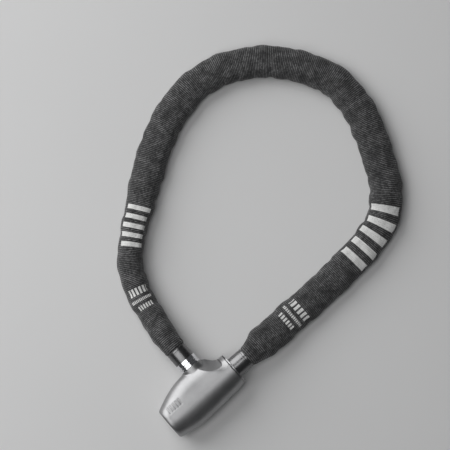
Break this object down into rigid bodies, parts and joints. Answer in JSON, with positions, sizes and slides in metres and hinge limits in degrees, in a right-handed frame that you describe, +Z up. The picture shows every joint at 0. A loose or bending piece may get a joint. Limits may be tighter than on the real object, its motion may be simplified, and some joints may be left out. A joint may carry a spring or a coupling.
{
  "type": "bicycle chain lock",
  "caption": "Bicycle chain lock: hardened chain in a woven fabric sleeve, closed into a loop by a plug pin held in a key-operated metal lock body.",
  "frame": {"origin": "centre of the bounding box in plan, on the surface that the lock lies on", "axes": "+X along the lock body from its keyhole nose to the fixed end of the chain, +Y out of the plug socket into the loop, +Z up"},
  "size_m": [0.3806, 0.2863, 0.0364],
  "materials": {
    "casing_metal": "satin metallic grey",
    "trim_metal": "satin",
    "brass": "machined",
    "spring_steel": "bright",
    "hard_steel": "ground",
    "dark_metal": "dark satin",
    "bright_ring": "polished",
    "chain_steel": "zinc plated",
    "sleeve_fabric": "woven nylon"
  },
  "bodies": {
    "lock": {"lock_casing": "casing_metal", "end_collar": "trim_metal", "nose_cap": "trim_metal", "shutter_spring": "spring_steel", "cylinder_housing": "brass", "driver_pins": "brass", "pin_springs": "spring_steel", "cylinder_retaining_pin": "hard_steel", "anchor_retaining_pin": "hard_steel", "socket_bush": "brass", "anchor_stem": "hard_steel", "anchor_cross_pin": "hard_steel", "fixed_ferrule": "dark_metal", "anchor_links": "chain_steel", "sleeve_start": "sleeve_fabric"},
    "cylinder": {"cylinder_plug": "brass", "key_pins": "brass", "cylinder_circlip": "spring_steel", "drive_cam": "hard_steel"},
    "locking_slide": {"locking_slide": "hard_steel"},
    "shutter": {"key_shutter": "hard_steel"},
    "chain_01": {"chain_links_01": "chain_steel", "sleeve_01": "sleeve_fabric"},
    "chain_02": {"chain_links_02": "chain_steel", "sleeve_02": "sleeve_fabric"},
    "chain_03": {"chain_links_03": "chain_steel", "sleeve_03": "sleeve_fabric"},
    "chain_04": {"chain_links_04": "chain_steel", "sleeve_04": "sleeve_fabric"},
    "chain_05": {"chain_links_05": "chain_steel", "sleeve_05": "sleeve_fabric"},
    "chain_06": {"chain_links_06": "chain_steel", "sleeve_06": "sleeve_fabric"},
    "chain_07": {"chain_links_07": "chain_steel", "sleeve_07": "sleeve_fabric"},
    "chain_08": {"chain_links_08": "chain_steel", "sleeve_08": "sleeve_fabric"},
    "chain_09": {"chain_links_09": "chain_steel", "sleeve_09": "sleeve_fabric"},
    "chain_10": {"chain_links_10": "chain_steel", "sleeve_10": "sleeve_fabric"},
    "chain_11": {"chain_links_11": "chain_steel", "sleeve_11": "sleeve_fabric"},
    "chain_12": {"chain_links_12": "chain_steel", "sleeve_12": "sleeve_fabric"},
    "chain_13": {"chain_links_13": "chain_steel", "sleeve_13": "sleeve_fabric"},
    "plug": {"plug_pin": "hard_steel", "plug_cross_pin": "hard_steel", "plug_collar": "bright_ring", "plug_ferrule": "dark_metal", "plug_links": "chain_steel", "sleeve_end": "sleeve_fabric"}
  },
  "joints": [
    {"name": "cylinder_turn", "type": "hinge", "parent": "lock", "child": "cylinder", "pos_m": [-0.1903, -0.1217, 0.0182], "axis": [1, 0, 0], "range_deg": [0, 90]},
    {"name": "locking_slide_travel", "type": "slide", "parent": "lock", "child": "locking_slide", "axis": [0, 0, -1], "range_m": [0, 0.00637]},
    {"name": "shutter_slide", "type": "slide", "parent": "lock", "child": "shutter", "axis": [0, 1, 0], "range_m": [0, 0.006], "stiffness_N_per_m": 20, "deforming": ["shutter_spring"]},
    {"name": "chain_pivot_01", "type": "hinge", "parent": "lock", "child": "chain_01", "pos_m": [-0.07317, -0.12159, 0.01741], "axis": [0, 0, 1], "range_deg": [0, 4.5]},
    {"name": "chain_pivot_02", "type": "hinge", "parent": "chain_01", "child": "chain_02", "pos_m": [-0.01386, -0.12073, 0.01076], "axis": [0, 0, 1], "range_deg": [0, 4.11]},
    {"name": "chain_pivot_03", "type": "hinge", "parent": "chain_02", "child": "chain_03", "pos_m": [0.04583, -0.11903, 0.01], "axis": [0, 0, 1], "range_deg": [0, 0.583]},
    {"name": "chain_pivot_04", "type": "hinge", "parent": "chain_03", "child": "chain_04", "pos_m": [0.10475, -0.11045, 0.01], "axis": [0, 0, 1], "range_deg": [-3.36, 0]},
    {"name": "chain_pivot_05", "type": "hinge", "parent": "chain_04", "child": "chain_05", "pos_m": [0.14676, -0.07, 0.01], "axis": [0, 0, 1], "range_deg": [-5.35, 0]},
    {"name": "chain_pivot_06", "type": "hinge", "parent": "chain_05", "child": "chain_06", "pos_m": [0.16915, -0.0147, 0.01], "axis": [0, 0, 1], "range_deg": [-5.14, 0]},
    {"name": "chain_pivot_07", "type": "hinge", "parent": "chain_06", "child": "chain_07", "pos_m": [0.16917, 0.0441, 0.01], "axis": [0, 0, 1], "range_deg": [-3.49, 0]},
    {"name": "chain_pivot_08", "type": "hinge", "parent": "chain_07", "child": "chain_08", "pos_m": [0.13644, 0.09355, 0.01], "axis": [0, 0, 1], "range_deg": [-1.37, 0]},
    {"name": "chain_pivot_09", "type": "hinge", "parent": "chain_08", "child": "chain_09", "pos_m": [0.08517, 0.12302, 0.01], "axis": [0, 0, 1], "range_deg": [0, 0.42]},
    {"name": "chain_pivot_10", "type": "hinge", "parent": "chain_09", "child": "chain_10", "pos_m": [0.0262, 0.12187, 0.01], "axis": [0, 0, 1], "range_deg": [0, 1.52]},
    {"name": "chain_pivot_11", "type": "hinge", "parent": "chain_10", "child": "chain_11", "pos_m": [-0.02759, 0.09642, 0.01], "axis": [0, 0, 1], "range_deg": [0, 2.04]},
    {"name": "chain_pivot_12", "type": "hinge", "parent": "chain_11", "child": "chain_12", "pos_m": [-0.07647, 0.06209, 0.01001], "axis": [0, 0, 1], "range_deg": [0, 2.18]},
    {"name": "chain_pivot_13", "type": "hinge", "parent": "chain_12", "child": "chain_13", "pos_m": [-0.11865, 0.02063, 0.01007], "axis": [0, 0, 1], "range_deg": [0, 1.98]},
    {"name": "chain_pivot_14", "type": "hinge", "parent": "chain_13", "child": "plug", "pos_m": [-0.13302, -0.0368, 0.01391], "axis": [0, 0, 1], "range_deg": [0, 1.38]}
  ],
  "couplings": [
    {"joint": "locking_slide_travel", "follows": "cylinder_turn", "m_per_rad": 0.0040514},
    {"joint": "chain_pivot_02", "follows": "chain_pivot_01", "ratio": 0.91209},
    {"joint": "chain_pivot_03", "follows": "chain_pivot_01", "ratio": 0.12831},
    {"joint": "chain_pivot_04", "follows": "chain_pivot_01", "ratio": -0.74449},
    {"joint": "chain_pivot_05", "follows": "chain_pivot_01", "ratio": -1.187},
    {"joint": "chain_pivot_06", "follows": "chain_pivot_01", "ratio": -1.1419},
    {"joint": "chain_pivot_07", "follows": "chain_pivot_01", "ratio": -0.77357},
    {"joint": "chain_pivot_08", "follows": "chain_pivot_01", "ratio": -0.30254},
    {"joint": "chain_pivot_09", "follows": "chain_pivot_01", "ratio": 0.0922},
    {"joint": "chain_pivot_10", "follows": "chain_pivot_01", "ratio": 0.33766},
    {"joint": "chain_pivot_11", "follows": "chain_pivot_01", "ratio": 0.45104},
    {"joint": "chain_pivot_12", "follows": "chain_pivot_01", "ratio": 0.48267},
    {"joint": "chain_pivot_13", "follows": "chain_pivot_01", "ratio": 0.43952},
    {"joint": "chain_pivot_14", "follows": "chain_pivot_01", "ratio": 0.30607}
  ]
}
